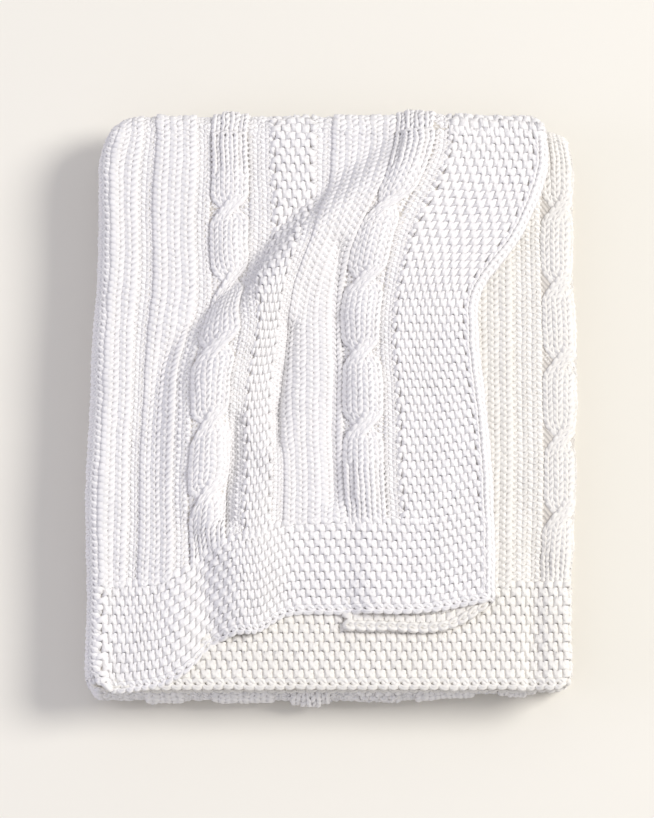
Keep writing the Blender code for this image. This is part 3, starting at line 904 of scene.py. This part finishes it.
def wales_of(zones, s, t, rows, row, plain=False, thick=1.0):
    """The charts of a run of zones, apart from its cables, and the cables' middles."""
    rib, purl = (PLAIN_KNIT, PLAIN_PURL) if plain else (RIB, PURL)
    made, cables = [], []
    for kind, count, width in zones:
        if kind == "rib":
            made.append(patch_of(rib, s, count, width / count, t, rows, row, RIB_RISE * thick, thick))
        elif kind == "purl":
            raised = PLAIN_RISE if plain else -PURL_DROP * thick
            made.append(patch_of(purl, s, count, width / count, t, rows, row, raised, thick))
        elif kind == "garter":
            ridges = max(2, round(rows * GARTER_SHARE))
            made.append(garter(s, count, width / count, t, ridges, rows * row / ridges, thick, plain))
        elif kind == "cable":
            cables.append(s + width / 2)
        s += width
    return np.concatenate(made), cables


top_across = lines_across(leaf_step=0.008, fold_step=0.0014, top_step=0.0035)
top_along = steps(-0.002, THIRD_LENGTH, 0.004)
top_guide = sheet_mesh("top_guide", with_overrun(top_across), with_overrun(top_along), top_place)
BODY_START = BAND - 0.003
body_row = (THIRD_LENGTH - BODY_START) / BODY_ROWS


def top_field(zones, start):
    """The chart of a run of zones on the body of the top third, and its cables' middles."""
    return wales_of(zones, start, BODY_START, BODY_ROWS, body_row)


left_field, _ = top_field(LEFT_LEAF_WALES[:4], LEFT_START)
middle_field, _ = top_field(LEFT_LEAF_WALES[5:9], LEFT_START + FIRST_CABLE + CABLE_WIDTH / 2)
beside_border, _ = top_field(LEFT_LEAF_WALES[10:], LEFT_START + SECOND_CABLE + CABLE_WIDTH / 2)
border_ridges = round((THIRD_LENGTH - BAND) / BORDER_RIDGE)
side_border = garter(
    LEFT_END - BORDER_WIDTH, BORDER_WALES, (BORDER_WIDTH - SELVAGE_INSET) / BORDER_WALES,
    BAND, border_ridges, (THIRD_LENGTH - BAND) / border_ridges)


def selvage(t, rows, length):
    """The two smooth knit columns that go round the tuck fold."""
    wale = (NARROW_FOLD + SELVAGE_INSET) / 2
    return patch_of(KNIT, LEFT_END - SELVAGE_INSET, 2, wale, t, rows, length / rows, 0.0002)


def hem_garter(start, width, thick=1.0, plain=False, t=HEM_INSET):
    """The garter band of a hem, across one leaf."""
    wales = round(width / WALE)
    return garter(start, wales, width / wales, t, BAND_RIDGES, RIDGE, thick, plain)


# The right leaf's strip that shows, from the fold leftwards
STRIP_WALES = (
    ("rib", 4, 0.0408), ("purl", 3, 0.0250), ("cable", 0, CABLE_WIDTH),
)
STRIP_OVER_FOLD = 0.011
STRIP_START = RIGHT_END + STRIP_OVER_FOLD - sum(width for _, _, width in STRIP_WALES)
strip_field, strip_cables = top_field(STRIP_WALES, STRIP_START)
cable_run = BODY_START, THIRD_LENGTH
left_cable = cable(LEFT_START + FIRST_CABLE, *cable_run, LEFT_CROSSING, LEFT_PITCH)
right_cable = cable(LEFT_START + SECOND_CABLE, *cable_run, RIGHT_CROSSING, RIGHT_PITCH)
strip_cable = cable(strip_cables[0], *cable_run, STRIP_CROSSING, STRIP_PITCH, STRIP_THICK)
border = np.concatenate([
    beside_border, side_border, selvage(HEM_INSET, SELVAGE_ROWS, THIRD_LENGTH - HEM_INSET)])
hem_band = np.concatenate([hem_garter(LEFT_START, LEFT_LEAF), chain(LEFT_START, LEFT_LEAF, -HEM_INSET)])
right_hem = np.concatenate([
    hem_garter(0.0, RIGHT_LEAF),
    garter(RIGHT_END, 1, NARROW_FOLD, HEM_INSET, BAND_RIDGES, RIDGE),
    chain(0.0, RIGHT_LEAF, -HEM_INSET),
])
MARGIN_WALES, MARGIN_RIDGES, MARGIN_THICK = 14, 3, 0.7
margin_hem = np.concatenate([
    garter(MARGIN_START, MARGIN_WALES, TUCK_WIDTH / MARGIN_WALES, 0.002, MARGIN_RIDGES, RIDGE,
           MARGIN_THICK, flip=True),
    chain(MARGIN_START, TUCK_WIDTH, -HEM_INSET, flip=True),
])
top_stitches = [
    lay_stitches("top_" + name, chart, top_guide, yarn, "top_third")
    for name, chart, yarn, slot in (
        ("left_ribs", left_field, ivory_yarn, "cable_knit"),
        ("left_cable", left_cable, ivory_yarn, "cable_knit"),
        ("middle_ribs", middle_field, ivory_yarn, "cable_knit"),
        ("right_cable", right_cable, ivory_yarn, "cable_knit"),
        ("side_border", border, ivory_yarn, "garter_band"),
        ("hem_band", hem_band, ivory_yarn, "garter_band"),
        ("right_leaf_ribs", strip_field, cream_yarn, "cable_knit"),
        ("right_leaf_cable", strip_cable, cream_yarn, "cable_knit"),
        ("right_leaf_hem", right_hem, cream_yarn, "garter_band"),
        ("margin_hem", margin_hem, cream_yarn, "garter_band"),
    )
]
SIDE_YARNS = (
    ("left", ivory_yarn, "cable_knit"), ("right", cream_yarn, "cable_knit"),
    ("tuck", cream_yarn, "garter_band"),
)
NOSE_START, NOSE_WALE = RIGHT_END + 0.006, 0.0085
FOLD_OVERLAP = 0.0005  # of the left fold's wales over the centre leaf's


def side_charts(t, rows, row):
    """Wales over the left fold, and over the nose of the right fold below the strip's cable."""
    wale = (WIDE_FOLD + FOLD_OVERLAP) / 3
    left = patch_of(PURL, CENTRE_END - FOLD_OVERLAP, 3, wale, t, rows, row)
    return left, patch_of(KNIT, NOSE_START, 1, NOSE_WALE, t, rows, row)


def side_pieces(third, guide, *charts):
    """The wales on the left fold, the right fold and, where it has a chart, the tuck fold."""
    return [
        lay_stitches(f"{third}_{side}_fold_wales", chart, guide, yarn, third + "_third")
        for chart, (side, yarn, slot) in zip(charts, SIDE_YARNS)
    ]


SIDE_START, TOP_SIDE_ROWS = 0.002, 85
top_stitches += side_pieces("top", top_guide, *side_charts(
    SIDE_START, TOP_SIDE_ROWS, (THIRD_LENGTH - SIDE_START) / TOP_SIDE_ROWS))
PRESSED = 0.55  # thickness of the stitches between plies
ROOM = LEVEL - 0.0012  # from the middle of a ply up to the back of the next
# From the right fold: kind, number of wales, width
CENTRE_WALES = (
    ("purl", 3, 0.0243), ("cable", 0, CABLE_WIDTH), ("purl", 3, 0.0211), ("rib", 5, 0.0486),
    ("purl", 2, 0.0170), ("garter", 4, 0.0324), ("purl", 3, 0.0211), ("cable", 0, CABLE_WIDTH),
    ("purl", 2, 0.0138), ("rib", 5, 0.0500), ("purl", 3, 0.0243), ("rib", 3, 0.0308),
    ("purl", 4, 0.0378),
)


def pressed_leaves(third, guide, t, rows, row, *leaves):
    """The leaves that only show once the throw is opened, in plainer stitches."""
    made = []
    for leaf, zones, start in leaves:
        field, cables = wales_of(zones, start, t, rows, row, True, PRESSED)
        parts = [field] + [
            cable(middle, t, t + rows * row, t + CABLE_TURN / 2, CABLE_TURN, PRESSED, True)
            for middle in cables
        ]
        on_table = (third, leaf) == ("bottom", "centre_leaf")
        made.append(lay_stitches(
            f"{third}_{leaf}_stitches", np.concatenate(parts), guide, ivory_yarn,
            third + "_third", room=PLY / 2 if on_table else ROOM))
    return made


top_stitches += pressed_leaves(
    "top", top_guide, BODY_START, BODY_ROWS, body_row, ("centre_leaf", CENTRE_WALES, CENTRE_START))
centre_hem = np.concatenate([
    hem_garter(CENTRE_START, CENTRE_LEAF, PRESSED, True),
    chain(CENTRE_START, CENTRE_LEAF, -HEM_INSET, PRESSED),
])
top_stitches.append(lay_stitches(
    "top_centre_hem", centre_hem, top_guide, cream_yarn, "top_third", room=ROOM))
PLIES = ("centre_leaf", "right_leaf", "tucked_margin", "left_leaf")
BORDERS = ("centre_border", "right_border", "margin_border", "left_border")
FOLDS = ("left_fold", "right_fold", "tuck_fold")
lay_cloth(
    "top_third_cloth", top_across, top_along, top_place,
    nodes_of("top", *PLIES, *BORDERS, *FOLDS), "top_third",
)

# ----------------------------------------------------------
# Middle third.
# It lies upside down between the other two, so only its folded sides show until the throw is
# opened. Its stitches are pressed flat between the plies.
# ----------------------------------------------------------
across = lines_across(leaf_step=0.010, fold_step=0.0014, top_step=0.010)
middle_along = steps(0, MIDDLE_LENGTH, 0.010)
middle_guide = sheet_mesh("middle_guide", with_overrun(across), with_overrun(middle_along), middle_place)
MIDDLE_ROWS = 84
middle_row = MIDDLE_LENGTH / MIDDLE_ROWS
HIDDEN_LEAVES = ("centre_leaf", CENTRE_WALES, CENTRE_START), ("left_leaf", WHOLE_LEAF_WALES, LEFT_START)
middle_stitches = pressed_leaves("middle", middle_guide, 0, MIDDLE_ROWS, middle_row, *HIDDEN_LEAVES)
middle_stitches += side_pieces(
    "middle", middle_guide, *side_charts(0, MIDDLE_ROWS, middle_row),
    selvage(0, MIDDLE_ROWS, MIDDLE_LENGTH))
lay_cloth(
    "middle_third_cloth", across, middle_along, middle_place,
    nodes_of("middle", *PLIES, *FOLDS), "middle_third",
)

# ----------------------------------------------------------
# Bottom third.
# It lies right side out on the table, with the cloth's other hems at the back under the stack.
# ----------------------------------------------------------
BOTTOM_LENGTH = HEM_BACK - FLAT_FRONT
BOTTOM_ROWS, SIDE_ROWS = 70, 86
bottom_along = steps(0, BOTTOM_LENGTH + 0.002, 0.010)
bottom_guide = sheet_mesh("bottom_guide", with_overrun(across), with_overrun(bottom_along), bottom_place)
bottom_body = BOTTOM_LENGTH - BAND
bottom_row = bottom_body / BOTTOM_ROWS
back_bands = np.concatenate([
    hem_garter(start, width, PRESSED, True, bottom_body)
    for start, width in ((CENTRE_START, CENTRE_LEAF), (LEFT_START, LEFT_LEAF))
] + [
    chain(start, width, BOTTOM_LENGTH - HEM_INSET, PRESSED)
    for start, width in ((0, RIGHT_LEAF), (CENTRE_START, CENTRE_LEAF), (LEFT_START, LEFT_LEAF))
])
bottom_stitches = pressed_leaves("bottom", bottom_guide, 0, BOTTOM_ROWS, bottom_row, *HIDDEN_LEAVES)
bottom_stitches += side_pieces(
    "bottom", bottom_guide, *side_charts(0, SIDE_ROWS, BOTTOM_LENGTH / SIDE_ROWS),
    selvage(0, SIDE_ROWS, BOTTOM_LENGTH))
bottom_stitches.append(lay_stitches(
    "bottom_hem_bands", back_bands, bottom_guide, cream_yarn, "bottom_third"))
lay_cloth(
    "bottom_third_cloth", across, bottom_along, bottom_place,
    nodes_of("bottom", *PLIES, *BORDERS, *FOLDS), "bottom_third",
)

# ----------------------------------------------------------
# Front and back folds.
# Four plies turn round each hinge line, one inside the other. The outermost carries the pattern
# round the fold, and its cables roll over as soft bumps.
# ----------------------------------------------------------
FOLD_ARC = math.pi * LEVEL * 3.5
FOLD_ROWS, INNER_ROWS, FOLD_RIDGES = 10, 5, 6
FAR_REACH, NEAR_REACH = LEVEL * 3.2, LEVEL * 1.6  # reaches given for the outer and the inner plies
CROWDED = 0.28  # thickness of the stitches in the tightest turns
fold_row, inner_row = FOLD_ARC / FOLD_ROWS, FOLD_ARC / INNER_ROWS
fold_along = steps(0, FOLD_ARC, 0.003)
left_wales, right_wales = side_charts(0, FOLD_ROWS, fold_row)


def over_fold(zones, start):
    """The charts of a leaf's wales over the outside of a fold, each cable as one soft bump."""
    field, cables = wales_of(zones, start, 0, FOLD_ROWS, fold_row)
    return [field] + [cable(middle, 0, FOLD_ARC, FOLD_ARC * 0.55, FOLD_ARC) for middle in cables]


fold_border = garter(
    LEFT_END - BORDER_WIDTH, BORDER_WALES + 1, (BORDER_WIDTH + NARROW_FOLD) / (BORDER_WALES + 1),
    0, FOLD_RIDGES, FOLD_ARC / FOLD_RIDGES)
# The plies nearest the hinge line turn tightly, so their rows crowd together
strip, strip_middles = wales_of(STRIP_WALES, STRIP_START, 0, INNER_ROWS, inner_row, thick=0.8)
strip_bump = cable(strip_middles[0], 0, FOLD_ARC, FOLD_ARC * 0.5, FOLD_ARC, 0.6)
inner_centre, _ = wales_of(CENTRE_WALES, CENTRE_START, 0, INNER_ROWS, inner_row, True, CROWDED)
inner_left, _ = wales_of(WHOLE_LEAF_WALES, LEFT_START, 0, INNER_ROWS, inner_row, True, CROWDED)
half_way = CENTRE_END + WIDE_FOLD / 2
centre_plies = across[across <= half_way], ("centre_leaf", "right_leaf")
left_plies = across[across >= half_way], ("left_leaf", "tucked_margin")
# Hinge line, side, third whose section it turns, the two bodies, then the charts and the plies
# of the outside and of the inside
cross_folds = {
    "front": (
        HINGE_FRONT, -1, "middle", "bottom_third", "middle_third",
        over_fold(CENTRE_WALES, CENTRE_START) + [left_wales, right_wales], centre_plies,
        [inner_left], left_plies,
    ),
    "back": (
        HINGE_BACK, 1, "top", "middle_third", "top_third",
        over_fold(LEFT_LEAF_WALES, LEFT_START) + [fold_border, left_wales], left_plies,
        [strip, strip_bump, right_wales, inner_centre], centre_plies,
    ),
}
for fold, (hinge, side, third, lower, upper, outer, outer_plies, inner, inner_plies) in cross_folds.items():
    place = fold_place(hinge, side, third, FOLD_ARC)
    guide = sheet_mesh(fold + "_guide", with_overrun(across), with_overrun(fold_along), place)
    far_bend, near_bend = (lower, upper, hinge, FAR_REACH), (lower, upper, hinge, NEAR_REACH)
    outer_stitches = lay_stitches(
        fold + "_fold_stitches", np.concatenate(outer), guide, ivory_yarn,
        unevenness=FOLD_UNEVENNESS)
    inner_stitches = lay_stitches(
        fold + "_fold_inner_stitches", np.concatenate(inner), guide, cream_yarn)
    for name, (lines, plies), bend, stitches in (
        ("outer", outer_plies, far_bend, outer_stitches),
        ("inner", inner_plies, near_bend, inner_stitches),
    ):
        _, heights = section(lines, third)
        lay_cloth(
            f"{fold}_fold_{name}_cloth", lines, fold_along, place,
            nodes_of(fold + "_fold", *plies),
        )
    bpy.data.objects.remove(guide)

for guide in (top_guide, middle_guide, bottom_guide):
    bpy.data.objects.remove(guide)
for kind in list(stitch_kinds.objects):
    bpy.data.objects.remove(kind)
bpy.data.collections.remove(stitch_kinds)
